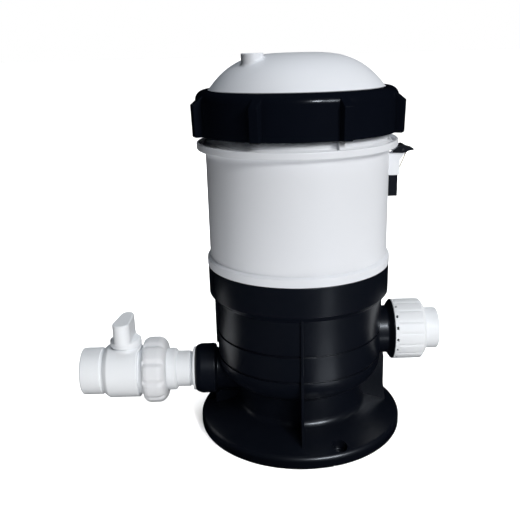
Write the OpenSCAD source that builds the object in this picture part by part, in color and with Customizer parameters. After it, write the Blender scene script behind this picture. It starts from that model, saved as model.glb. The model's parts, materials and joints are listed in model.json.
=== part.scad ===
// In-line chlorine tablet feeder: white tank on a black flared base, domed lid
// held by a lugged lock ring, ball valve on the inlet and a union on the outlet.
// Origin: centre of the foot on the floor. +Z up the tank, inlet along -X,
// outlet along +X. Millimetres.

/* [Tank] */
// Outer radius of the tank wall
tank_r = 113; // [112.9:0.1:113.1]
// Wall thickness of the tank
tank_wall = 4.5; // [3.5:0.1:5]
// Outer radius of the band at the tank's lower edge
band_r = 116.7; // [116:0.1:117.5]
// Outer radius of the lip under the lock ring
lip_r = 123.3; // [122:0.1:124]
// Number of webs across the lip's gutter
lip_webs = 12; // [6:1:16]

/* [Base] */
// Outer radius of the foot on the floor
foot_r = 135.2; // [134.5:0.1:137]
// Outer radius of the barrel
barrel_r = 108.3; // [108:0.1:108.6]
// Wall thickness of the barrel
barrel_wall = 4.8; // [4.5:0.1:5]
// Thickness of the four upright webs
web_t = 3.2; // [2.5:0.1:4.5]
// Radius of the circle of floor fixing holes
fix_r = 122; // [120:0.5:124]
// Radius of a floor fixing hole
fix_hole_r = 3.5; // [2.5:0.1:4]
// Number of floor fixing holes
fix_n = 3; // [2:1:3]

/* [Lid and lock ring] */
// Height of the dome's top above the floor
dome_top = 483.5; // [481:0.1:484]
// Outer radius of the lock ring between its lugs
ring_r = 122.7; // [122:0.1:124]
// Outer radius of the lock ring over its lugs
lug_r = 132.7; // [130:0.1:134]
// Width of one lug
lug_w = 11; // [8:0.5:16]
// Number of lugs
lug_n = 8; // [6:1:10]

/* [Pipework] */
// Outer radius of the 1 1/2 inch pipe the sockets take
pipe_r = 24.13; // [24.1:0.01:24.15]
// Radius of the pipe sockets
socket_r = 24.2; // [24.18:0.01:24.25]
// Radius of the waterway
way_r = 20; // [18:0.5:20.5]
// Height of the inlet axis above the floor
inlet_z = 73.5; // [73:0.1:74]
// Height of the outlet axis above the floor
outlet_z = 124.3; // [123.5:0.1:125]
// Distance of the valve stem from the tank's axis
stem_x = -233.5; // [-233.9:0.1:-233.1]
// Angle of the valve handle from fully closed
handle_deg = 5; // [0:1:16]

/* [Hidden] */
$fn = 96;

BLACK = [0.05, 0.06, 0.08];
WHITE = [0.90, 0.91, 0.93];
PVC = [0.93, 0.94, 0.94];
RUBBER = [0.12, 0.12, 0.12];
STEEL = [0.75, 0.75, 0.74];
BLUE = [0.55, 0.68, 0.80];

barrel_in = barrel_r - barrel_wall;
tank_in = tank_r - tank_wall;
boss_x = -52;
boss_y = -38;
boss_r = 13;
boss_top = 484.2;
lever_x = 130;
lever_z = 365.6;

// points on an arc
function arc(cx, cy, r, a0, a1, n) = [for (i = [0:n]) let (a = a0 + (a1 - a0) * i / n) [cx + r * cos(a), cy + r * sin(a)]];
// height of the dome's outer face at radius r
function dome_z(r) = dome_top - 41.3 * pow(r / 107, 3.5);

// solid of revolution about a line along X at height z: points are [radius, x]
module xrev(z, pts) translate([0, 0, z]) rotate([0, 90, 0]) rotate_extrude() polygon(pts);
// cylinder along X
module xcyl(z, x0, x1, r) translate([x0, 0, z]) rotate([0, 90, 0]) cylinder(h = x1 - x0, r = r);
// ring along X
module xring(z, x0, x1, ro, ri) xrev(z, [[ri, x0], [ro, x0], [ro, x1], [ri, x1]]);
// ring about Z
module zring(z0, z1, ro, ri) rotate_extrude() polygon([[ri, z0], [ro, z0], [ro, z1], [ri, z1]]);
// plate in the radial plane at azimuth a (0 = +X), points are [radius, z]
module radial(a, t, pts) rotate([0, 0, a]) rotate([90, 0, 0]) translate([0, 0, -t / 2]) linear_extrude(t) polygon(pts);

// ---------- base ----------
// the black base is split at two level planes into foot, bowl and barrel
foot_top = 44;
bowl_top = 100;

// the floor fixing holes' places
module at_fixings() for (i = [0:fix_n - 1]) rotate([0, 0, -69.5 + i * 360 / fix_n]) translate([fix_r, 0, 0]) children();

// room for the two ports, with the socket's shoulder on the inlet side
module port_room() {
  xcyl(inlet_z, -141, -60, 27.55);
  xcyl(outlet_z, 80, 130, 31.55);
}

module base_foot() color(BLACK) difference() {
  union() {
    rotate_extrude() polygon(concat(
      [[0, 0], [foot_r - 1.2, 0], [foot_r, 1.2]],
      arc(foot_r - 7, 9, 7, 0, 72.8, 8),
      arc(93, 37.7, 10, 252.8, 180, 10), [[83, foot_top], [0, foot_top]]));
    for (a = [0, 90, 268.8]) radial(a, web_t, [[80, 28], [119, 17.4], [119, 20], [115.5, foot_top], [80, foot_top]]);
    radial(180, web_t, [[80, 28], [115.5, 18.4], [115.5, 34], [110, 39.5], [80, 39.5]]);
  }
  // hollow under the foot, with solid pads left round the fixing holes
  difference() {
    rotate_extrude() polygon([[0, -1], [126, -1], [126, 13.5], [90, 24.65], [79, 26.5], [79, 38.6], [0, 38.6]]);
    at_fixings() translate([0, 0, -2]) cylinder(h = 50, r = 13);
  }
  // spot-faced floor fixing holes
  at_fixings() {
    translate([0, 0, -1]) cylinder(h = 20, r = fix_hole_r);
    translate([0, 0, 8]) cylinder(h = 18, r = 9.5);
  }
}

module base_bowl() color(BLACK) difference() {
  union() {
    rotate_extrude() polygon(concat(
      [[78.4, foot_top], [83, foot_top]],
      arc(barrel_r - 33, 98.5, 33, -76.5, 0, 14),
      [[barrel_r, bowl_top], [barrel_in, bowl_top]],
      arc(barrel_r - 33, 98.5, 33 - barrel_wall, 0, -83.7, 12)));
    for (a = [0, 90, 268.8]) radial(a, web_t, [[81, foot_top], [115.5, foot_top], [115.5, 84], [112.7, bowl_top], [106, bowl_top], [106, 97], [95, 75], [81, 68]]);
  }
  port_room();
}

module base_barrel() color(BLACK) difference() {
  union() {
    rotate_extrude() polygon(
      [[barrel_in, bowl_top], [barrel_r, bowl_top], [barrel_r, 100.4], [barrel_r - 1.7, 101.2], [barrel_r - 1.7, 102.8], [barrel_r, 103.6],
       [barrel_r, 134.4], [barrel_r - 1.7, 135.2], [barrel_r - 1.7, 136.8], [barrel_r, 137.6],
       [barrel_r, 181], [116.3, 189], [116.3, 225.6], [112.9, 225.6], [112.9, 231],
       [barrel_in, 231], [barrel_in, 152], [97, 152], [97, 149], [barrel_in, 143]]);
    for (a = [0, 90, 268.8]) radial(a, web_t, [[106, bowl_top], [112.7, bowl_top], [110.6, 112], [110.6, 187.4], [106, 187.4]]);
    radial(180, web_t, [[106, 110], [110.6, 112], [110.6, 187.4], [106, 187.4]]);
  }
  port_room();
}

// black socket and neck on the inlet side
module inlet_port() color(BLACK) xrev(inlet_z, [[28.1, -140.5], [28.9, -140.5], [31.6, -138.2], [33.6, -132.5], [33.6, -113.5], [27.5, -110.5], [27.5, -81],
  [way_r, -81], [way_r, -114], [28.1, -114]]);

// neck, flare and threaded stub on the outlet side
module outlet_port() color(BLACK) difference() {
  xrev(outlet_z, [[way_r, 96], [31.5, 96], [31.5, 116.8], [33.4, 118], [39.6, 122.4], [39.6, 123], [36, 123], [36, 150], [way_r, 150]]);
  // flush with the vessel's inside
  cylinder(h = 300, r = barrel_in + 0.05);
}

// ---------- tank ----------
module tank_profile() polygon(concat(
  [[113.2, 226.1], [band_r, 226.1], [band_r, 236.2], [tank_r, 238.6], [tank_r, 364.5]],
  arc(tank_r + 9, 364.5, 9, 180, 90, 8),
  [[lip_r - 0.8, 373.5], [lip_r, 374.6], [lip_r, 380.8], [lip_r - 1.2, 382], [lip_r - 3.4, 382], [lip_r - 3.8, 377.5], [115.6, 377.5],
   [115, 381], [112.6, 383], [112.6, 399], [114.8, 401], [114.8, 403], [112.6, 405], [112.6, 411], [114.8, 413], [114.8, 415], [112.6, 417],
   [112.6, 435.6], [107.6, 435.6], [107.6, 420], [tank_in, 410], [tank_in, 233.1], [113.2, 233.1]]));

module tank_shell() color(WHITE) union() {
  rotate_extrude() tank_profile();
  // webs across the gutter
  for (i = [0:lip_webs - 1]) radial(i * 360 / lip_webs + 12, 3, [[114, 376.8], [lip_r - 2, 376.8], [lip_r - 2, 381.3], [114, 381.3]]);
  // stop tab under the ring
  radial(-68.5, 8.4, [[111.5, 381], [118.6, 381], [117.6, 391], [111.5, 391]]);
}

module tank_seal() color(RUBBER) zring(231, 233.1, 112.7, 104.6);

// ---------- lid and ring ----------
module lid_dome() color(WHITE) difference() {
  union() {
    rotate_extrude() polygon(concat(
      [for (i = [0:24]) let (r = 107 * i / 24) [r, dome_z(r)]],
      [[107, 440.2], [113.8, 440.2], [113.8, 436.4], [107, 436.4], [107, 429], [103, 429], [103, 440]],
      [for (i = [22:-1:0]) let (r = 103 * i / 24) [r, dome_z(r * 1.03) - 4.2]]));
    intersection() {
      translate([boss_x, boss_y, 462]) cylinder(h = boss_top - 462, r = boss_r);
      rotate_extrude() polygon(concat([for (i = [0:16]) let (r = 90 * i / 16) [r, dome_z(r) - 3]], [[90, boss_top + 1], [0, boss_top + 1]]));
    }
  }
  translate([boss_x, boss_y, 478.2]) cylinder(h = 10, r = 9);
  translate([boss_x, boss_y, 450]) cylinder(h = 40, r = 4.05);
}

module lid_seal() color(RUBBER) zring(435.6, 436.4, 112.4, 107.8);

module bleed_screw() color(BLACK) translate([boss_x, boss_y, 0]) difference() {
  union() {
    translate([0, 0, 479.5]) cylinder(h = 4.4, r = 8.6);
    translate([0, 0, 466]) cylinder(h = 14, r = 4);
  }
  translate([-10, -0.9, 481.8]) cube([20, 1.8, 4]);
}

module bleed_seal() color(RUBBER) translate([boss_x, boss_y, 0]) zring(478.2, 479.5, 7.8, 4.3);

module lock_ring() color(BLACK) union() {
  rotate_extrude() polygon(concat(
    [[115.6, 391.7], [ring_r - 0.8, 391.7], [ring_r, 392.5]],
    arc(ring_r - 12, 431.5, 12, 0, 90, 10),
    [[107.9, 443.5], [107.4, 443], [107.4, 440.5], [115.6, 440.5]]));
  for (i = [0:lug_n - 1]) radial(-90 + 21.5 + i * 360 / lug_n, lug_w, [[118, 391.7], [lug_r - 2, 391.7], [lug_r - 1, 392.7], [lug_r, 429], [119.5, 439.4], [118, 439.4]]);
}

// ---------- inside ----------
module flow_diffuser() color(WHITE) difference() {
  translate([0, 0, 152]) cylinder(h = 3, r = barrel_in - 0.5);
  for (k = [1:4]) for (i = [0:6 * k - 1]) rotate([0, 0, i * 60 / k]) translate([21 * k, 0, 150]) cylinder(h = 10, r = 4);
}

// slotted wall of the tablet basket, with a rim
module tablet_basket() color(BLUE) difference() {
  rotate_extrude() polygon([[92, 158], [95, 158], [95, 404], [100, 409], [100, 412], [92, 412]]);
  for (z = [180, 295]) for (i = [0:11]) rotate([0, 0, i * 30 + 15]) translate([85, -4, z]) cube([20, 8, 95]);
}

// drilled floor of the basket
module basket_floor() color(BLUE) difference() {
  translate([0, 0, 155]) cylinder(h = 3, r = 95);
  for (k = [1:4]) for (i = [0:6 * k - 1]) rotate([0, 0, i * 60 / k + 7]) translate([19 * k, 0, 150]) cylinder(h = 10, r = 4);
}

// flat carrying strap across the basket's rim
module basket_bail() color(BLUE) union() {
  translate([-98.5, -5, 416]) cube([197, 10, 3]);
  for (s = [-1, 1]) translate([s * 96.8 - 1.7, -5, 412]) cube([3.4, 10, 4.5]);
}

module inlet_riser() color(WHITE) difference() {
  union() {
    zring(44, 151.6, 17, 13.5);
    zring(44, 47, 24, 13.5);
    xring(inlet_z, -75.5, -14, 18, 14);
  }
  translate([0, 0, 44]) cylinder(h = 120, r = 13.5);
  xcyl(inlet_z, -80, -5, 14);
}

module outlet_screen() color(WHITE) difference() {
  xrev(outlet_z, [[0, 70], [19.7, 70], [19.7, 115], [17, 115], [17, 72.5], [0, 72.5]]);
  for (i = [0:9]) translate([0, 0, outlet_z]) rotate([i * 36, 0, 0]) translate([75, -2.5, 15]) cube([20, 5, 10]);
}

// ---------- inlet side ----------
module inlet_bushing() color(PVC) xrev(inlet_z, [[socket_r, -143.3], [28.7, -143.3], [29.4, -142.6], [29.4, -140.5], [28, -140.5], [28, -114], [socket_r, -114]]);

module inlet_nipple() color(PVC) xrev(inlet_z, [[way_r, -195.2], [33, -195.2], [33, -189.1], [28.4, -189.1], [28.4, -168], [26.5, -166],
  [pipe_r, -165.4], [pipe_r, -148], [22.9, -147.4], [22.9, -144], [pipe_r, -143.5], [pipe_r, -114], [way_r, -114]]);

module valve_face_seal() color(RUBBER) xring(inlet_z, -196, -195.2, 30, 22);

module valve_union_nut() color(PVC) difference() {
  intersection() {
    union() {
      xcyl(inlet_z, -209.1, -178.5, 41.6);
      for (i = [0:9]) translate([0, 0, inlet_z]) rotate([i * 36, 0, 0]) xcyl(36.2, -209.1, -178.5, 8);
    }
    xrev(inlet_z, concat([[0, -209.1], [40.4, -209.1], [43, -206.4], [44.3, -202.1]], arc(32.3, -190.7, 12, 0, 90, 10), [[0, -178.7]]));
  }
  xcyl(inlet_z, -213, -188.8, 33.4);
  xcyl(inlet_z, -190, -170, 28.8);
}

module valve_body() color(PVC) difference() {
  union() {
    xrev(inlet_z, [[0, -262.7], [32.6, -262.7], [36.5, -257.2], [36.5, -217.9], [35, -216.3], [33, -216.3], [33, -196], [0, -196]]);
    translate([stem_x, 0, inlet_z]) cylinder(h = 37.3, r = 16);
  }
  xcyl(inlet_z, -264, stem_x + 22, 29);
  xcyl(inlet_z, -214, -195, way_r);
  translate([stem_x, 0, inlet_z]) cylinder(h = 60, r = 8.05);
}

module valve_end_socket() color(PVC) difference() {
  xrev(inlet_z, [[0, -294], [30.2, -294], [31.8, -292.4], [31.8, -267.6], [31.2, -266.4], [30.4, -266.4], [30.4, -263], [28.6, -263], [28.6, -258.5], [0, -258.5]]);
  xcyl(inlet_z, -295, -265, socket_r);
  xcyl(inlet_z, -266, -250, way_r);
}

module valve_seats() color([0.95, 0.95, 0.92]) {
  xring(inlet_z, stem_x - 22, stem_x - 16, 28.5, 19.7);
  xring(inlet_z, stem_x + 16, stem_x + 22, 28.5, 19.7);
}

module valve_ball() color(WHITE) translate([stem_x, 0, inlet_z]) rotate([0, 0, -handle_deg]) difference() {
  sphere(r = 25);
  translate([0, -30, 0]) rotate([-90, 0, 0]) cylinder(h = 60, r = 15.5);
  translate([-3.2, -30, 19]) cube([6.4, 60, 20]);
}

module valve_stem() color(WHITE) translate([stem_x, 0, inlet_z]) rotate([0, 0, -handle_deg]) difference() {
  union() {
    translate([0, 0, 25.6]) cylinder(h = 11.9, r = 8);
    // square drive for the handle
    translate([-5.5, -5.5, 37]) cube([11, 11, 9]);
    // tang in the ball's slot
    intersection() {
      translate([-3, -20, 19.3]) cube([6, 40, 8]);
      cylinder(h = 60, r = 8);
    }
  }
  for (z = [31.5, 35]) translate([0, 0, z]) zring(-0.95, 0.95, 12, 6.2);
}

module stem_o_rings() color(RUBBER) for (z = [31.5, 35]) translate([stem_x, 0, inlet_z + z]) rotate_extrude() translate([7.1, 0]) circle(r = 0.84, $fn = 24);

module valve_handle() color(PVC) translate([stem_x, 0, inlet_z]) rotate([0, 0, -handle_deg]) difference() {
  union() {
    rotate_extrude() polygon([[0, 38.6], [20.4, 38.6], [21, 39.2], [21, 45.3], [19, 47.8], [0, 47.8]]);
    // upright fin, round at both ends and thicker at the front
    translate([0, 0, 46.6]) linear_extrude(28.3) polygon(concat(arc(0, -15.5, 11.5, -184.3, 4.3, 16), arc(0, 18, 9, 4.3, 175.7, 16)));
  }
  // square socket on the stem
  translate([-5.6, -5.6, 30]) cube([11.2, 11.2, 16.2]);
}

// ---------- outlet side ----------
module outlet_union_nut() color(PVC) difference() {
  xrev(outlet_z, [[0, 123.5], [39.4, 123.5], [40.1, 124.2], [40.1, 160.5], [34.5, 165], [0, 165]]);
  xcyl(outlet_z, 122, 157.3, 36.4);
  xcyl(outlet_z, 150, 170, 27.8);
  for (i = [0:15]) translate([0, 0, outlet_z]) rotate([i * 22.5, 0, 0]) {
    xcyl(41.6, 128.4, 170, 2.4);
    translate([125.2, -1.7, 38.6]) cube([2.6, 3.4, 4]);
  }
}

module outlet_tailpiece() color(PVC) difference() {
  xrev(outlet_z, [[0, 150.8], [35.6, 150.8], [35.6, 157], [27.3, 157], [27.3, 181.6], [25.9, 184], [0, 184]]);
  xcyl(outlet_z, 159, 185, socket_r);
  xcyl(outlet_z, 150, 160, way_r);
}

module outlet_face_seal() color(RUBBER) xring(outlet_z, 150, 150.8, 32, 22);

// ---------- ring catch on the right of the tank ----------
module latch_block() color(BLACK) difference() {
  translate([110, -9, 307.6]) cube([14.8, 18, 26.6]);
  cylinder(h = 500, r = tank_r + 0.05);
  for (z = [315, 327]) translate([100, 0, z]) rotate([0, 90, 0]) cylinder(h = 40, r = 1.8);
}

module latch_bracket() color(WHITE) difference() {
  union() {
    translate([110, -9, 334.2]) cube([16.8, 18, 27]);
    // ear that carries the pin
    rotate([90, 0, 0]) translate([0, 0, -9]) linear_extrude(18) polygon([[118, 352], [126.8, 352], [132.8, 361], [132.8, 366.8], [131.4, 368.5], [127.4, 368.5], [118, 361]]);
  }
  cylinder(h = 500, r = tank_r + 0.05);
  translate([lever_x, -15, lever_z]) rotate([-90, 0, 0]) cylinder(h = 30, r = 1.55);
  // seat for the wire's foot
  translate([124.6, -1.4, 335.6]) cube([10, 2.8, 5]);
}

module latch_lever() color(BLACK) difference() {
  rotate([90, 0, 0]) translate([0, 0, -11]) linear_extrude(22) polygon([[117.3, 362.4], [117.6, 364.6], [123, 368.6], [127.4, 371], [130.6, 371.9], [134, 370.6], [136.4, 368.4],
    [142.6, 367.2], [143.4, 366], [142.8, 364.8], [136, 364.4], [134.6, 362.6], [129, 361.6], [122, 362.6]]);
  // room for the ear
  translate([113, -9.4, 355]) cube([21.2, 18.8, 14.4]);
  translate([lever_x, -15, lever_z]) rotate([-90, 0, 0]) cylinder(h = 30, r = 1.58);
}

module latch_pin() color(STEEL) translate([lever_x, -11.4, lever_z]) rotate([-90, 0, 0]) cylinder(h = 22.8, r = 1.5);

// straight wire leg that pushes the lever up
module latch_spring() color(STEEL) translate([126.2, 0, 337]) rotate([0, atan2(10.8, 26.6), 0]) cylinder(h = norm([10.8, 26.6]), r = 0.9, $fn = 24);

module latch_screws() color(STEEL) for (z = [315, 327]) translate([0, 0, z]) rotate([0, 90, 0]) {
  translate([0, 0, 124.8]) cylinder(h = 1.6, r = 3);
  translate([0, 0, 114]) cylinder(h = 11.3, r = 1.7);
}

base_foot();
base_bowl();
base_barrel();
inlet_port();
outlet_port();
tank_shell();
tank_seal();
lock_ring();
lid_dome();
lid_seal();
bleed_screw();
bleed_seal();
tablet_basket();
basket_floor();
basket_bail();
flow_diffuser();
inlet_riser();
outlet_screen();
inlet_bushing();
inlet_nipple();
valve_face_seal();
valve_union_nut();
valve_body();
valve_end_socket();
valve_seats();
valve_ball();
valve_stem();
stem_o_rings();
valve_handle();
outlet_union_nut();
outlet_tailpiece();
outlet_face_seal();
latch_block();
latch_bracket();
latch_lever();
latch_pin();
latch_spring();
latch_screws();
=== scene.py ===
import math

import bmesh
import bpy
from mathutils import Matrix, Vector
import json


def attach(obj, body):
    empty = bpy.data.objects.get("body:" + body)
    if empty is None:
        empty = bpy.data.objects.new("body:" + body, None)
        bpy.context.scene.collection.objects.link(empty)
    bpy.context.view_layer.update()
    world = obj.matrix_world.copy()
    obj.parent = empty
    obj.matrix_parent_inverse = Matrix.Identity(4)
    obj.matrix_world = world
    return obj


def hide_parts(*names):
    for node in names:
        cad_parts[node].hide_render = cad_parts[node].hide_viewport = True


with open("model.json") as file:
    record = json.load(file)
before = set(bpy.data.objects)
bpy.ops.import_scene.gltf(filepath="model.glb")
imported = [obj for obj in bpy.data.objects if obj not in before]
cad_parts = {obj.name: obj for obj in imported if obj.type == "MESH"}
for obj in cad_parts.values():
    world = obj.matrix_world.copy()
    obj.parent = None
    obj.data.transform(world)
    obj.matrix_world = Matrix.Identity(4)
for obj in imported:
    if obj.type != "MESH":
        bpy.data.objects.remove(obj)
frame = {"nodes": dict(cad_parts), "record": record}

SCENE = bpy.context.scene
MM = 0.001
PI = math.pi


# ---------------------------------------------------------------- mesh tools
def arc(cx, cy, r, a0, a1, n):
    return [(cx + r * math.cos(math.radians(a0 + (a1 - a0) * i / n)),
             cy + r * math.sin(math.radians(a0 + (a1 - a0) * i / n))) for i in range(n + 1)]


def rounded(pts, n=5):
    """Closed outline of (a, b) or (a, b, radius) corners, with the corners rounded."""
    out, m = [], len(pts)
    for i, q in enumerate(pts):
        p = Vector(q[:2])
        r = q[2] if len(q) > 2 else 0.0
        if r <= 0:
            out.append((p.x, p.y))
            continue
        a, b = Vector(pts[i - 1][:2]) - p, Vector(pts[(i + 1) % m][:2]) - p
        la, lb = a.length, b.length
        a.normalize()
        b.normalize()
        ang = a.angle(b)
        if ang > PI - 0.02:
            out.append((p.x, p.y))
            continue
        d = min(r / math.tan(ang / 2), la * 0.48, lb * 0.48)
        r = d * math.tan(ang / 2)
        c = p + (a + b).normalized() * (r / math.sin(ang / 2))
        s, e = p + a * d, p + b * d
        a0 = math.atan2(s.y - c.y, s.x - c.x)
        da = (math.atan2(e.y - c.y, e.x - c.x) - a0 + PI) % (2 * PI) - PI
        k = max(2, math.ceil(n * abs(da) / (PI / 2)))
        out += [(c.x + r * math.cos(a0 + da * j / k), c.y + r * math.sin(a0 + da * j / k)) for j in range(k + 1)]
    return out


def about_x(z, x=0.0, y=0.0):
    """Places a shape that was turned about Z so that its axis runs along +X at height z."""
    return Matrix.Translation((x, y, z)) @ Matrix.Rotation(PI / 2, 4, "Y")


def revolve(bm, outline, segs, place=None, wave=None):
    """Turns a closed outline of (radius, height) about Z. wave(angle, r, h) may give a new radius."""
    place = place or Matrix.Identity(4)
    rings = []
    for r, h in outline:
        if r < 1e-5:
            rings.append([bm.verts.new(place @ Vector((0, 0, h)) * MM)])
        else:
            ring = []
            for k in range(segs):
                t = 2 * PI * k / segs
                q = wave(t, r, h) if wave else r
                ring.append(bm.verts.new(place @ Vector((q * math.cos(t), q * math.sin(t), h)) * MM))
            rings.append(ring)
    faces = []
    for i in range(len(rings)):
        a, b = rings[i], rings[(i + 1) % len(rings)]
        if len(a) == 1 and len(b) == 1:
            continue
        for k in range(segs):
            k2 = (k + 1) % segs
            if len(a) == 1:
                faces.append(bm.faces.new((a[0], b[k2], b[k])))
            elif len(b) == 1:
                faces.append(bm.faces.new((a[k], a[k2], b[0])))
            else:
                faces.append(bm.faces.new((a[k], a[k2], b[k2], b[k])))
    return faces


def prism(bm, outline, w0, w1, place=None, bevel=0.0, seg=3):
    """Closed outline in (u, v) drawn out from w0 to w1; place maps (u, v, w) in mm."""
    place = place or Matrix.Identity(4)
    lo = [bm.verts.new(place @ Vector((u, v, w0)) * MM) for u, v in outline]
    hi = [bm.verts.new(place @ Vector((u, v, w1)) * MM) for u, v in outline]
    fs = [bm.faces.new(lo[::-1]), bm.faces.new(hi)]
    n = len(outline)
    for i in range(n):
        j = (i + 1) % n
        fs.append(bm.faces.new((lo[i], lo[j], hi[j], hi[i])))
    if bevel:
        edges = list({e for f in fs for e in f.edges})
        bmesh.ops.bevel(bm, geom=edges, offset=bevel * MM, segments=seg, profile=0.5, affect="EDGES", clamp_overlap=True)


def radial(a_deg):
    """Places an outline of (radius, height) in the upright plane at azimuth a (0 = +X)."""
    return Matrix.Rotation(math.radians(a_deg), 4, "Z") @ Matrix(((1, 0, 0, 0), (0, 0, -1, 0), (0, 1, 0, 0), (0, 0, 0, 1)))


def temp(bm, name="temp"):
    bmesh.ops.recalc_face_normals(bm, faces=bm.faces)
    me = bpy.data.meshes.new(name)
    bm.to_mesh(me)
    bm.free()
    o = bpy.data.objects.new(name, me)
    SCENE.collection.objects.link(o)
    return o


def bake(o):
    bpy.context.view_layer.update()
    me = bpy.data.meshes.new_from_object(o.evaluated_get(bpy.context.evaluated_depsgraph_get()))
    o.modifiers.clear()
    o.data = me


def join(a, b, op="UNION"):
    """a becomes its union with, or difference from, the closed mesh b, which is used up."""
    m = a.modifiers.new("b", "BOOLEAN")
    m.object, m.operation, m.solver = b, op, "EXACT"
    bake(a)
    bpy.data.objects.remove(b)
    return a


def finish_piece(o, name, material, body, nodes=(), sharp=34, weld=2e-6):
    bm = bmesh.new()
    bm.from_mesh(o.data)
    bmesh.ops.remove_doubles(bm, verts=bm.verts, dist=weld)
    bmesh.ops.dissolve_degenerate(bm, edges=bm.edges, dist=weld)
    bmesh.ops.recalc_face_normals(bm, faces=bm.faces)
    bm.to_mesh(o.data)
    bm.free()
    me = o.data
    me.polygons.foreach_set("use_smooth", [True] * len(me.polygons))
    me.set_sharp_from_angle(angle=math.radians(sharp))
    me.materials.clear()
    me.materials.append(material)
    o.name = me.name = name
    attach(o, body)
    if nodes:
        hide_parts(*nodes)
    m = o.modifiers.new("normals", "WEIGHTED_NORMAL")
    m.keep_sharp = True
    m.weight = 60
    return o


# ---------------------------------------------------------------- materials
def new_material(name):
    m = bpy.data.materials.new(name)
    m.use_nodes = True
    t = m.node_tree
    t.nodes.clear()
    out = t.nodes.new("ShaderNodeOutputMaterial")
    b = t.nodes.new("ShaderNodeBsdfPrincipled")
    t.links.new(b.outputs[0], out.inputs[0])
    return m, t, b


def noise(t, scale, detail=3.0, rough=0.5, stretch=None, seed=0.0):
    co = t.nodes.new("ShaderNodeTexCoord")
    mp = t.nodes.new("ShaderNodeMapping")
    t.links.new(co.outputs["Object"], mp.inputs[0])
    mp.inputs["Location"].default_value = (seed, seed * 0.7, seed * 1.3)
    if stretch:
        mp.inputs["Scale"].default_value = stretch
    n = t.nodes.new("ShaderNodeTexNoise")
    n.inputs["Scale"].default_value = scale
    n.inputs["Detail"].default_value = detail
    n.inputs["Roughness"].default_value = rough
    t.links.new(mp.outputs[0], n.inputs["Vector"])
    return n.outputs[0]


def remap(t, value, a, b, lo, hi):
    n = t.nodes.new("ShaderNodeMapRange")
    n.inputs["From Min"].default_value = a
    n.inputs["From Max"].default_value = b
    n.inputs["To Min"].default_value = lo
    n.inputs["To Max"].default_value = hi
    t.links.new(value, n.inputs["Value"])
    return n.outputs[0]


def blend(t, fac, c0, c1):
    n = t.nodes.new("ShaderNodeMix")
    n.data_type = "RGBA"
    for k, c in ((6, c0), (7, c1)):
        if isinstance(c, tuple):
            n.inputs[k].default_value = (*c, 1)
        else:
            t.links.new(c, n.inputs[k])
    t.links.new(fac, n.inputs[0])
    return n.outputs[2]


def bump(t, layers):
    """layers: (height, strength, distance in metres), coarse to fine."""
    last = None
    for h, s, d in layers:
        n = t.nodes.new("ShaderNodeBump")
        n.inputs["Strength"].default_value = s
        n.inputs["Distance"].default_value = d
        t.links.new(h, n.inputs["Height"])
        if last:
            t.links.new(last, n.inputs["Normal"])
        last = n.outputs[0]
    return last


def plastic(name, dark, light, rough, spread, peel=0.02, grain=0.03, spec=0.5, edge=None, coat=None, rise=None):
    m, t, b = new_material(name)
    cloud = remap(t, noise(t, 9, 4, 0.55), 0.3, 0.7, 0, 1)
    colour = blend(t, cloud, dark, light)
    if edge:
        g = t.nodes.new("ShaderNodeNewGeometry")
        worn = remap(t, g.outputs["Pointiness"], 0.53, 0.62, 0, edge[1])
        colour = blend(t, worn, colour, edge[0])
    t.links.new(colour, b.inputs["Base Color"])
    shine = remap(t, noise(t, 55, 5, 0.6, seed=1.7), 0.25, 0.75, rough - spread, rough + spread)
    if rise:  # (z0, z1, more): the wall gets less shiny from z0 up to z1
        sep = t.nodes.new("ShaderNodeSeparateXYZ")
        t.links.new(t.nodes.new("ShaderNodeTexCoord").outputs["Object"], sep.inputs[0])
        add = t.nodes.new("ShaderNodeMath")
        t.links.new(shine, add.inputs[0])
        t.links.new(remap(t, sep.outputs[2], rise[0], rise[1], 0, rise[2]), add.inputs[1])
        shine = add.outputs[0]
    t.links.new(shine, b.inputs["Roughness"])
    b.inputs["Specular IOR Level"].default_value = spec
    if coat:  # a sharper skin over a broad sheen
        b.inputs["Coat Weight"].default_value, b.inputs["Coat Roughness"].default_value = coat
    t.links.new(bump(t, [(noise(t, 38, 2, 0.5, seed=5.3), peel, 0.002), (noise(t, 1500, 2, 0.5), grain, 0.0002)]), b.inputs["Normal"])
    return m


BLACK = plastic("black_moulded_plastic", (0.0025, 0.0035, 0.0066), (0.0032, 0.0043, 0.0080), 0.33, 0.015, peel=0.004, grain=0.006,
                spec=0.38, coat=(0.14, 0.20))
GLOSS = plastic("black_ring_plastic", (0.0025, 0.0035, 0.0066), (0.0032, 0.0043, 0.0080), 0.18, 0.015, peel=0.004, grain=0.005, spec=0.2)
TANK = plastic("white_tank_plastic", (0.755, 0.780, 0.828), (0.78, 0.804, 0.85), 0.38, 0.04, peel=0.012, grain=0.02,
               edge=((0.83, 0.845, 0.87), 0.6))
PVC = plastic("white_pvc", (0.785, 0.810, 0.842), (0.81, 0.834, 0.864), 0.50, 0.04, peel=0.012, grain=0.02, spec=0.35,
              edge=((0.88, 0.89, 0.90), 0.6))
NUT = plastic("grey_white_pvc", (0.715, 0.730, 0.758), (0.74, 0.754, 0.782), 0.50, 0.04, peel=0.012, grain=0.02, spec=0.35,
              edge=((0.78, 0.79, 0.80), 0.6))
BASKET = plastic("pale_basket_plastic", (0.42, 0.55, 0.66), (0.47, 0.60, 0.70), 0.45, 0.06)
SEAT = plastic("seat_plastic", (0.80, 0.80, 0.77), (0.84, 0.84, 0.81), 0.35, 0.05)
RUBBER = plastic("black_rubber", (0.012, 0.012, 0.012), (0.020, 0.020, 0.020), 0.62, 0.08, grain=0.12, spec=0.35)


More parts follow.
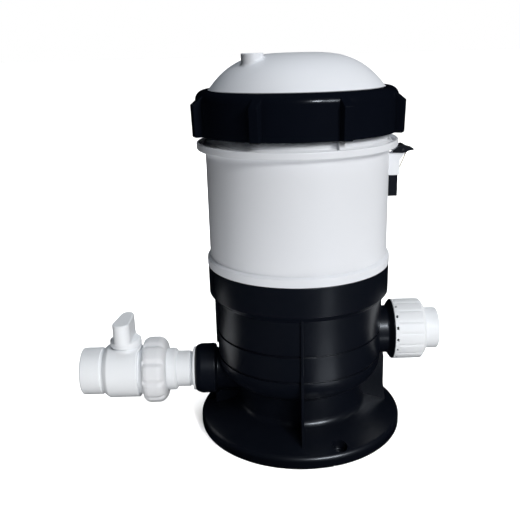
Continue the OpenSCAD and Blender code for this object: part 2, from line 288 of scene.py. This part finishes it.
def steel(name, dark, light, metal):
    m, t, b = new_material(name)
    streak = noise(t, 260, 4, 0.6, stretch=(1, 1, 0.05))
    t.links.new(blend(t, streak, dark, light), b.inputs["Base Color"])
    b.inputs["Metallic"].default_value = metal
    t.links.new(remap(t, streak, 0.3, 0.7, 0.34, 0.48), b.inputs["Roughness"])
    t.links.new(bump(t, [(streak, 0.05, 0.0002)]), b.inputs["Normal"])
    return m


STEEL = steel("drawn_steel", (0.60, 0.59, 0.56), (0.74, 0.73, 0.70), 0.35)
DULL = steel("blackened_steel", (0.012, 0.013, 0.016), (0.022, 0.023, 0.027), 0.2)
WIRE = steel("plated_wire", (0.66, 0.62, 0.55), (0.76, 0.72, 0.65), 0.1)
BY_SLOT = {"black_plastic": BLACK, "white_plastic": TANK, "pvc_white": PVC, "basket_plastic": BASKET,
           "seat_plastic": SEAT, "rubber": RUBBER, "steel": STEEL}
for sub in frame["record"]["subparts"]:
    o = frame["nodes"][sub["node"]]
    o.data.materials.clear()
    o.data.materials.append(WIRE if sub["node"] == "latch_spring" else BY_SLOT[sub["material_slot"]])


# ---------------------------------------------------------------- base
def base():
    v = 0.35
    outer = rounded([(126, 0, 0.8), (135.2, 0, 1.2), (135.2, 9)])[:-1]
    outer += arc(128.2, 9, 7, 0, 72.8, 16)
    outer += arc(93, 37.7, 10, 252.8, 180, 20)
    outer += arc(75.3, 98.5, 33, -76.5, 0, 34)
    rest = rounded([(108.3, 98.5), (108.3, 100.4, 0.25), (106.3, 100.7, v), (106.3, 103.3, v), (108.3, 103.6, 0.25),
                    (108.3, 134.4, 0.25), (106.3, 134.7, v), (106.3, 137.3, v), (108.3, 137.6, 0.25),
                    (108.3, 181, 2.5), (116.3, 189, 1.6), (116.3, 225.6, 0.6), (112.9, 225.6), (112.9, 231, 0.5),
                    (103.5, 231, 0.5), (103.5, 152), (97, 152, 0.4), (97, 149, 0.4), (103.5, 143)], 5)[1:]
    inner = arc(75.3, 98.5, 28.2, 0, -83.7, 16) + [(78.4, 47)] + arc(75.4, 47, 3, 0, -90, 4)
    inner += [(0, 44), (0, 38.6), (79, 38.6), (79, 26.5), (90, 24.65), (126, 13.5)]
    bm = bmesh.new()
    revolve(bm, outer + rest + inner, 288)
    o = temp(bm)
    # upright webs
    bm = bmesh.new()
    full = [(80.5, 28), (118.9, 17.5), (118.9, 20), (115.5, 44), (115.5, 84), (110.6, 112), (110.6, 187), (106.2, 187), (106.2, 97), (95, 75.5), (80.5, 68)]
    for a in (0, 90, 268.8):
        prism(bm, full, -1.6, 1.6, radial(a), 0.7)
    prism(bm, [(80.5, 28), (115.5, 18.5), (115.5, 34), (110, 39.5), (80.5, 39.5)], -1.6, 1.6, radial(180), 0.7)
    prism(bm, [(106.2, 110), (110.6, 112), (110.6, 187), (106.2, 187)], -1.6, 1.6, radial(180), 0.7)
    join(o, temp(bm))
    # pads under the fixing holes
    bm = bmesh.new()
    for k in range(3):
        a = math.radians(-69.5 + 120 * k)
        revolve(bm, [(0, 0), (13, 0), (13, 21), (0, 21)], 48, Matrix.Translation((122 * math.cos(a), 122 * math.sin(a), 0.02)))
    pads = temp(bm)
    bm = bmesh.new()
    revolve(bm, [(0, -5), (127.5, -5), (127.5, 14.8), (90, 26.4), (81, 28), (81, 40), (0, 40)], 144)
    join(pads, temp(bm), "INTERSECT")
    join(o, pads)
    # ports
    bm = bmesh.new()
    revolve(bm, rounded([(28.1, -140.5, 0.3), (28.9, -140.5, 0.6), (31.6, -138.2, 3.0), (33.6, -132.5, 6.0), (33.6, -113.5, 1.2), (27.5, -110.5, 1.5), (27.5, -79),
                         (20, -79), (20, -114), (28.1, -114)]), 128, about_x(73.5))
    revolve(bm, rounded([(20, 98.5), (31.5, 98.5), (31.5, 117, 3.5), (39.6, 122.4, 0.6), (39.6, 123, 0.3), (36, 123), (36, 150, 0.8), (20, 150, 0.5)], 8),
            128, about_x(124.3))
    ports = temp(bm)
    cut = bmesh.new()
    revolve(cut, [(0, -120), (27.4, -120), (27.4, -60), (0, -60)], 128, about_x(73.5))
    revolve(cut, [(0, 90), (31.4, 90), (31.4, 125), (0, 125)], 128, about_x(124.3))
    join(o, temp(cut), "DIFFERENCE")
    join(o, ports)
    # spot-faced fixing holes
    cut = bmesh.new()
    for k in range(3):
        a = math.radians(-69.5 + 120 * k)
        place = Matrix.Translation((122 * math.cos(a), 122 * math.sin(a), 0))
        revolve(cut, rounded([(0, -3), (3.5, -3), (3.5, 7.5, 0.6), (4.2, 8.0), (9.5, 8, 0.8), (9.5, 30), (0, 30)], 4), 64, place)
    join(o, temp(cut), "DIFFERENCE")
    return finish_piece(o, "base_moulding", BLACK, "feeder",
                        ("base_foot", "base_bowl", "base_barrel", "inlet_port", "outlet_port"))


base()


# ---------------------------------------------------------------- tank
def tank():
    prof = [(113.2, 226.1, 0.4), (116.7, 226.1, 1.0), (116.7, 236.2, 1.2), (113, 238.6, 0.8), (113, 364.5)]
    pts = rounded(prof + [(108.5, 364.5)], 5)[:-1]
    pts += arc(122, 364.5, 9, 180, 92, 14)
    pts += rounded([(121.5, 373.5), (122.5, 373.5, 0.6), (123.3, 374.6, 0.6), (123.3, 382, 1.3), (119.9, 382, 0.6), (119.5, 377.5, 0.5), (115.6, 377.5, 0.5),
                    (115, 381, 0.5), (112.6, 383, 0.8), (112.6, 399, 0.5), (114.8, 401, 0.6), (114.8, 403, 0.6), (112.6, 405, 0.5),
                    (112.6, 411, 0.5), (114.8, 413, 0.6), (114.8, 415, 0.6), (112.6, 417, 0.5), (112.6, 435.6, 0.6), (107.6, 435.6, 0.6),
                    (107.6, 420, 1), (108.5, 410, 1), (108.5, 233.1), (113.2, 233.1)], 4)
    bm = bmesh.new()
    revolve(bm, pts, 288)
    o = temp(bm)
    bm = bmesh.new()
    for i in range(12):
        prism(bm, [(113.6, 376.8), (121.4, 376.8), (121.4, 381.3), (113.6, 381.3)], -1.5, 1.5, radial(i * 30 + 12), 0.4, 2)
    prism(bm, [(111.4, 380.6), (118.6, 380.6), (117.6, 391), (111.4, 391)], -4.2, 4.2, radial(-68.5), 0.7)
    join(o, temp(bm))
    return finish_piece(o, "tank_body", TANK, "feeder", ("tank_shell",))


tank()


# ---------------------------------------------------------------- lid
BOSS = (-52.0, -38.0)


def dome_z(r):
    return 483.5 - 41.3 * (r / 107) ** 3.5


def lid():
    pts = [(107 * math.sin(i / 48 * PI / 2), dome_z(107 * math.sin(i / 48 * PI / 2))) for i in range(48)]
    pts += rounded([(106.9, dome_z(106.9)), (107, 440.2), (113.8, 440.2, 0.5), (113.8, 436.4, 0.4), (107, 436.4), (107, 429, 0.8), (103, 429, 0.8), (103, 440)])
    pts += [(103 * i / 24, dome_z(103 * i / 24 * 1.03) - 4.2) for i in range(22, -1, -1)]
    bm = bmesh.new()
    revolve(bm, pts, 288)
    o = temp(bm)
    # boss with a soft foot that follows the dome
    bx, by, br, segs = BOSS[0], BOSS[1], 13.0, 96
    bm = bmesh.new()
    rings = []
    for step in range(-1, 9):
        ring = []
        for k in range(segs):
            t = 2 * PI * k / segs
            f = min(2.6, 0.75 * (482.9 - dome_z(math.hypot(bx + br * math.cos(t), by + br * math.sin(t)))))
            rho = br + (f + 0.4 if step < 0 else f * (1 - math.sin(step * PI / 16)))
            lift = -1.2 if step < 0 else f * (1 - math.cos(step * PI / 16))
            x, y = bx + rho * math.cos(t), by + rho * math.sin(t)
            ring.append(bm.verts.new(Vector((x, y, dome_z(math.hypot(x, y)) + lift)) * MM))
        rings.append(ring)
    for r, z in rounded([(br, 478), (br, 484.2, 1.3), (9.2, 484.2, 0.5), (9, 478.2), (0, 478.2)], 5)[1:-1]:
        rings.append([bm.verts.new(Vector((bx + r * math.cos(2 * PI * k / segs), by + r * math.sin(2 * PI * k / segs), z)) * MM) for k in range(segs)])
    for a, b in zip(rings, rings[1:]):
        for k in range(segs):
            bm.faces.new((a[k], a[(k + 1) % segs], b[(k + 1) % segs], b[k]))
    bm.faces.new(rings[-1])
    bm.faces.new(rings[0][::-1])
    join(o, temp(bm))
    cut = bmesh.new()
    revolve(cut, [(0, 440), (4.05, 440), (4.05, 478.2), (9.0, 478.2), (9.0, 490), (0, 490)], 64, Matrix.Translation((bx, by, 0)))
    join(o, temp(cut), "DIFFERENCE")
    return finish_piece(o, "lid_shell", TANK, "lid", ("lid_dome",))


lid()


def bleed():
    bm = bmesh.new()
    revolve(bm, rounded([(0, 466), (4, 466, 0.6), (4, 479.5), (8.6, 479.5, 0.4), (8.6, 483.9, 0.9), (0, 483.9)]), 64, Matrix.Translation((*BOSS, 0)))
    o = temp(bm)
    cut = bmesh.new()
    prism(cut, [(-10, -0.9), (10, -0.9), (10, 0.9), (-10, 0.9)], 481.8, 490, Matrix.Translation((*BOSS, 0)))
    join(o, temp(cut), "DIFFERENCE")
    return finish_piece(o, "bleed_plug", BLACK, "bleed", ("bleed_screw",))


bleed()


# ---------------------------------------------------------------- lock ring
def ring():
    pts = rounded([(115.6, 391.7, 0.4), (122.7, 391.7, 0.9), (122.7, 431.5)])[:-1]
    pts += arc(110.7, 431.5, 12, 0, 88, 18)
    pts += rounded([(110.7, 443.5), (107.4, 443.5, 0.6), (107.4, 440.5, 0.3), (115.6, 440.5)])
    bm = bmesh.new()
    revolve(bm, pts, 288)
    o = temp(bm)
    bm = bmesh.new()
    for i in range(8):
        prism(bm, [(117.6, 391.75), (130.7, 391.75), (131.7, 392.75), (132.7, 429), (119.5, 439.4), (117.6, 439.4)], -5.5, 5.5, radial(-68.5 + 45 * i), 1.0, 3)
    join(o, temp(bm))
    return finish_piece(o, "lugged_ring", GLOSS, "ring", ("lock_ring",))


ring()


# ---------------------------------------------------------------- inlet valve
INLET = about_x(73.5)
OUTLET = about_x(124.3)
STEM = -233.5


def turned(name, outline, place, material, body, nodes, segs=128, n=5, wave=None):
    bm = bmesh.new()
    revolve(bm, rounded(outline, n), segs, place, wave)
    return finish_piece(temp(bm), name, material, body, nodes)


turned("inlet_bush", [(24.2, -143.3, 0.3), (29.4, -143.3, 0.7), (29.4, -140.5, 0.3), (28, -140.5), (28, -114), (24.2, -114)],
       INLET, PVC, "feeder", ("inlet_bushing",))
turned("inlet_tail", [(20, -195.2), (33, -195.2), (33, -189.1), (28.4, -189.1), (28.4, -168, 1.6), (26.4, -166, 0.8), (24.13, -165.2, 0.5), (24.13, -148, 0.5), (22.9, -147.4, 0.3), (22.9, -144, 0.3),
                      (24.13, -143.5, 0.2), (24.13, -114), (20, -114)],
       INLET, PVC, "feeder", ("inlet_nipple",))
turned("valve_end", [(24.2, -294, 0.7), (31.8, -294, 2.4), (31.8, -267.6, 0.8), (30.4, -266.4, 0.3), (30.4, -263, 0.3), (28.6, -263), (28.6, -258.5, 0.3), (20, -258.5, 0.3),
                     (20, -265), (24.2, -265)], INLET, PVC, "feeder", ("valve_end_socket",))


def valve_shell():
    bm = bmesh.new()
    revolve(bm, rounded([(29, -262.7, 0.4), (32.6, -262.7, 0.8), (36.5, -257.2, 4.0), (36.5, -217.3, 1.6), (35, -216.3, 0.5), (33, -216.3), (33, -196, 0.6), (20, -196, 0.4),
                         (20, -211.5), (29, -211.5)], 6), 144, INLET)
    o = temp(bm)
    # stem boss with a soft foot on the body's round back
    segs, br, f = 96, 16.0, 5.0
    bm = bmesh.new()
    rings = []
    for rho, lift in [(br + f + 0.5, -1.5)] + [(br + f * (1 - math.sin(t * PI / 20)), f * (1 - math.cos(t * PI / 20))) for t in range(11)]:
        rings.append([])
        for k in range(segs):
            t = 2 * PI * k / segs
            x, y = rho * math.cos(t), rho * math.sin(t)
            rings[-1].append(bm.verts.new(Vector((STEM + x, y, 73.5 + min(math.sqrt(36.5 ** 2 - y * y) + lift, 36.9))) * MM))
    rings.append([bm.verts.new(Vector((STEM + br * math.cos(2 * PI * k / segs), br * math.sin(2 * PI * k / segs), 110.8)) * MM) for k in range(segs)])
    for a, b in zip(rings, rings[1:]):
        for k in range(segs):
            bm.faces.new((a[k], a[(k + 1) % segs], b[(k + 1) % segs], b[k]))
    bm.faces.new(rings[-1])
    bm.faces.new(rings[0][::-1])
    join(o, temp(bm))
    cut = bmesh.new()
    revolve(cut, [(0, 20), (8.05, 20), (8.05, 60), (0, 60)], 64, Matrix.Translation((STEM, 0, 73.5)))
    join(o, temp(cut), "DIFFERENCE")
    cut = bmesh.new()
    revolve(cut, [(0, -262), (29, -262), (29, -211.5), (0, -211.5)], 96, INLET)
    join(o, temp(cut), "DIFFERENCE")
    return finish_piece(o, "valve_housing", PVC, "feeder", ("valve_body",))


valve_shell()


def valve_nut():
    def lobes(t, r, h):
        if r < 38 or h < -208.1:
            return r
        fade = min(1.0, max(0.0, (r - 38) / 4.5))
        c = abs((t * 10 / (2 * PI)) % 1.0 - 0.5) * 2  # 1 on a lobe's middle, 0 in a groove
        c = min(1.0, c / 0.45)
        return r - 2.4 * fade * (1 - c * c * (3 - 2 * c))
    outline = rounded([(33.4, -209.1, 0.4), (40.4, -209.1, 1.2), (43, -206.4, 3.0), (44.3, -202.1, 4.0), (44.3, -191.5)], 6)
    outline = outline[:-1] + arc(32.3, -190.7, 12, 0, 88, 20) + [(32.2, -178.7), (28.8, -178.7), (28.8, -188.8), (33.4, -188.8)]
    bm = bmesh.new()
    revolve(bm, outline, 400, INLET, lobes)
    return finish_piece(temp(bm), "valve_nut_ring", NUT, "valve_nut", ("valve_union_nut",))


valve_nut()


def handle():
    place = Matrix.Translation((STEM, 0, 73.5)) @ Matrix.Rotation(math.radians(-5), 4, "Z")
    bm = bmesh.new()
    revolve(bm, rounded([(0, 38.6), (21, 38.6, 0.9), (21, 45.5, 0.8), (18.8, 47.8, 2.0), (0, 47.8)]), 96, place)
    o = temp(bm)
    # upright fin, round at both ends, thicker at the front, with a soft foot and a softened top edge
    bm = bmesh.new()
    levels = [(46.6, 1.2), (47.6, 1.2)] + [(47.6 + 3.0 * (1 - math.cos(t * PI / 12)), 1.2 * (1 - math.sin(t * PI / 12))) for t in range(1, 7)]
    levels += [(73.0, 0.0)] + [(73.0 + 1.9 * math.sin(t * PI / 12), -1.9 * (1 - math.cos(t * PI / 12))) for t in range(1, 7)]
    rings = []
    for z, grow in levels:
        line = arc(0, -15.5, 11.5 + min(grow, 0), -184.3, 4.3, 28) + arc(0, 18, 9 + min(grow, 0), 4.3, 175.7, 24)
        if grow > 0:  # the foot spreads sideways but stays on the disc
            line = [(x * (1 + grow / 11.5), y) for x, y in line]
        rings.append([bm.verts.new(place @ Vector((x, y, z)) * MM) for x, y in line])
    for a, b in zip(rings, rings[1:]):
        for k in range(len(a)):
            j = (k + 1) % len(a)
            bm.faces.new((a[k], a[j], b[j], b[k]))
    bm.faces.new(rings[-1])
    bm.faces.new(rings[0][::-1])
    join(o, temp(bm))
    cut = bmesh.new()
    prism(cut, [(-5.6, -5.6), (5.6, -5.6), (5.6, 5.6), (-5.6, 5.6)], 30, 46.2, place)
    join(o, temp(cut), "DIFFERENCE")
    return finish_piece(o, "valve_lever", PVC, "valve_rotor", ("valve_handle",))


handle()


# ---------------------------------------------------------------- outlet union
def outlet_nut():
    def flutes(t, r, h):
        if r < 38.5 or h < 128.6:
            return r
        d = abs((t * 16 / (2 * PI)) % 1.0 - 0.5) * 2  # 0 on a flute's middle line
        d = d * (PI / 16) * 40
        return r - 0.95 * math.exp(-(d / 1.5) ** 2)
    outline = rounded([(36.4, 123.5, 0.3), (40.1, 123.5, 0.6), (40.1, 128.4), (40.1, 129.2), (40.1, 160.5, 1.0), (34.5, 165, 1.0), (27.8, 165, 0.5), (27.8, 157.3), (36.4, 157.3)], 6)
    bm = bmesh.new()
    revolve(bm, outline, 400, OUTLET, flutes)
    o = temp(bm)
    cut = bmesh.new()
    for i in range(16):
        turn = Matrix.Translation((0, 0, 124.3)) @ Matrix.Rotation(math.radians(22.5 * i), 4, "X")
        prism(cut, [(125.0, -2.0), (128.0, -2.0), (128.0, 2.0), (125.0, 2.0)], 35.5, 43, turn, 0.3, 2)
    join(o, temp(cut), "DIFFERENCE")
    return finish_piece(o, "outlet_nut_ring", PVC, "outlet_nut", ("outlet_union_nut",))


outlet_nut()
turned("outlet_tail", [(20, 150.8), (35.6, 150.8), (35.6, 157), (27.3, 157), (27.3, 184, 2.6), (24.2, 184, 0.5), (24.2, 159), (20, 159)],
       OUTLET, PVC, "feeder", ("outlet_tailpiece",))


# ---------------------------------------------------------------- catch on the tank's right side
def curved_back(bm_place, x1, y, z0, z1, bevel):
    """Block whose back follows the tank's wall."""
    out = []
    for i in range(9):
        yy = -y + 2 * y * i / 8
        out.append((math.sqrt(113.05 ** 2 - yy * yy), yy))
    out += [(x1, y), (x1, -y)]
    bm = bmesh.new()
    prism(bm, out, z0, z1, None, bevel, 3)
    return temp(bm)


def side_view(bm, outline, w, bevel, seg=3):
    """Outline in (x, z), drawn out to both sides of the y = 0 plane."""
    prism(bm, [(x, z) for x, z in outline], -w, w, Matrix(((1, 0, 0, 0), (0, 0, -1, 0), (0, 1, 0, 0), (0, 0, 0, 1))), bevel, seg)


def catch():
    o = curved_back(None, 124.8, 9, 307.6, 334.2, 0.7)
    finish_piece(o, "catch_block", BLACK, "feeder", ("latch_block",))

    o = curved_back(None, 126.8, 9, 334.2, 361.2, 0.6)
    bm = bmesh.new()
    side_view(bm, [(118, 352), (126.8, 352), (132.8, 361), (132.8, 366.8), (131.4, 368.5), (127.4, 368.5), (118, 361)], 8.9, 0.5)
    join(o, temp(bm))
    cut = bmesh.new()
    prism(cut, [(124.6, -1.4), (135, -1.4), (135, 1.4), (124.6, 1.4)], 335.6, 340.6)
    join(o, temp(cut), "DIFFERENCE")
    finish_piece(o, "catch_bracket", TANK, "feeder", ("latch_bracket",))

    bm = bmesh.new()
    side_view(bm, [(117.3, 362.4), (117.6, 364.6), (123, 368.6), (127.4, 371), (130.6, 371.9), (134, 370.6), (136.4, 368.4), (142.6, 367.2), (143.4, 366),
                   (142.8, 364.8), (136, 364.4), (134.6, 362.6), (129, 361.6), (122, 362.6)], 11, 0.45, 2)
    o = temp(bm)
    cut = bmesh.new()
    prism(cut, [(113, -9.4), (134.2, -9.4), (134.2, 9.4), (113, 9.4)], 355, 369.4)
    join(o, temp(cut), "DIFFERENCE")
    finish_piece(o, "catch_lever", BLACK, "lever", ("latch_lever",))

    bm = bmesh.new()
    revolve(bm, rounded([(0, -11.4), (1.5, -11.4, 0.4), (1.5, 11.4, 0.4), (0, 11.4)]), 32, Matrix.Translation((130, 0, 365.6)) @ Matrix.Rotation(-PI / 2, 4, "X"))
    finish_piece(temp(bm), "catch_pin", DULL, "feeder", ("latch_pin",))

    bm = bmesh.new()
    for z in (315, 327):
        revolve(bm, rounded([(0, 114), (1.7, 114), (1.7, 124.8), (3, 124.8, 0.2), (3, 126.4, 0.8), (0, 126.4)]), 40, about_x(z))
    o = temp(bm)
    for a, b, low in ((2.1, 0.3, 125.6), (0.3, 2.1, 125.62)):
        cut = bmesh.new()
        for z in (315, 327):
            turn = about_x(z) @ Matrix.Rotation(math.radians(20 if z < 320 else 65), 4, "Z")
            prism(cut, [(-a, -b), (a, -b), (a, b), (-a, b)], low, 128, turn)
        join(o, temp(cut), "DIFFERENCE")
    finish_piece(o, "catch_screws", STEEL, "feeder", ("latch_screws",))


catch()

# ---------------------------------------------------------------- lifting bar of the basket
bm = bmesh.new()
prism(bm, [(-98.5, 412), (-95.1, 412), (-95.1, 416), (95.1, 416), (95.1, 412), (98.5, 412), (98.5, 419), (-98.5, 419)], -5, 5, radial(0), 0.9, 3)
finish_piece(temp(bm), "basket_handle", BASKET, "feeder", ("basket_bail",))

# ---------------------------------------------------------------- floor, camera, light
bm = bmesh.new()
bmesh.ops.create_grid(bm, x_segments=1, y_segments=1, size=40)
floor = temp(bm, "floor")
fm, ft, fb = new_material("pale_floor")
ft.links.new(blend(ft, noise(ft, 3, 3), (0.90, 0.90, 0.90), (0.93, 0.93, 0.93)), fb.inputs["Base Color"])
fb.inputs["Roughness"].default_value = 0.9
fb.inputs["Specular IOR Level"].default_value = 0.1
floor.data.materials.append(fm)
floor.location.z = -0.0006
floor.visible_glossy = False

cam = bpy.data.cameras.new("camera")
cam.sensor_fit = "HORIZONTAL"
cam.sensor_width = 36.0
cam.lens = 680.6 / 520 * 36.0
cam.clip_start, cam.clip_end = 0.01, 200
camera = bpy.data.objects.new("camera", cam)
SCENE.collection.objects.link(camera)
camera.matrix_world = (Matrix.Translation((-0.437 * 0.113, -7.5 * 0.113, 4.328 * 0.113))
                       @ Matrix.Rotation(math.radians(90 - 17.27), 4, "X") @ Matrix.Rotation(math.radians(-1.57), 4, "Z"))
SCENE.camera = camera


def area(name, at, to, size, power, colour=(1, 1, 1), size_y=None):
    d = bpy.data.lights.new(name, "AREA")
    d.shape = "RECTANGLE"
    d.size, d.size_y = size, size_y or size
    d.energy = power
    d.color = colour
    o = bpy.data.objects.new(name, d)
    SCENE.collection.objects.link(o)
    o.location = at
    o.rotation_euler = (Vector(to) - Vector(at)).to_track_quat("-Z", "Y").to_euler()
    return o


def around(name, az, el, dist, size, power, colour, aim=(0, 0, 0.24)):
    """Soft box at an azimuth to the right of the front and an elevation, seen from the object."""
    a, e = math.radians(az), math.radians(el)
    at = (aim[0] + dist * math.cos(e) * math.sin(a), aim[1] - dist * math.cos(e) * math.cos(a), aim[2] + dist * math.sin(e))
    return area(name, at, aim, size, power, colour)


def card(name, x, y, sx, sy, power, colour, turn=0):
    """Bright card lying on the floor that throws light upwards, turned about its middle in degrees."""
    o = area(name, (x, y, 0.003), (x, y, 1), sx, power, colour, sy)
    o.rotation_euler = (math.pi, 0, math.radians(turn))
    return o


WARM, COOL, WHITE, BLUE = (1.0, 0.985, 0.96), (0.88, 0.94, 1.0), (1.0, 1.0, 1.0), (0.84, 0.91, 1.0)
# what lights the pale parts
for o in (around("key", 36, 28, 2.4, 0.35, 25, WARM), around("soft", 21, 26, 2.6, 1.1, 24, WHITE),
          around("rim", 118, 12, 2.4, 1.0, 14, WHITE), around("top", 0, 86, 2.2, 1.4, 15.6, COOL), around("back", 172, 18, 2.6, 1.2, 16, WHITE),
          card("card_left", -0.27, -0.34, 0.36, 0.3, 1.15, WHITE), card("card_right", 0.33, -0.33, 0.5, 0.4, 1.4, WHITE),
          card("card_valve", -0.23, -0.13, 0.26, 0.14, 0.085, WHITE)):
    o.visible_glossy = o.visible_camera = False
# what the black parts mirror
for o in (around("key_glint", 36, 28, 2.4, 0.35, 38, BLUE), around("front_glint", 20, 31, 2.4, 0.3, 24, BLUE),
          card("streak_glint", 0.262, -0.435, 0.13, 0.48, 0.46, BLUE, 36)):
    o.visible_diffuse = o.visible_camera = False
d = bpy.data.lights.new("floor_light", "SUN")
d.energy, d.angle = 4.6, math.radians(130)
sky = bpy.data.objects.new("floor_light", d)
SCENE.collection.objects.link(sky)
only = bpy.data.collections.new("floor_only")
only.objects.link(floor)
sky.light_linking.receiver_collection = only
floor.visible_diffuse = False

world = bpy.data.worlds.new("studio")
SCENE.world = world
world.use_nodes = True
bg = world.node_tree.nodes["Background"]
bg.inputs[0].default_value = (1.0, 1.0, 1.0, 1)
bg.inputs[1].default_value = 1.0
world.cycles_visibility.glossy = False
world.cycles_visibility.diffuse = False

SCENE.view_settings.view_transform = "Standard"
SCENE.view_settings.look = "None"
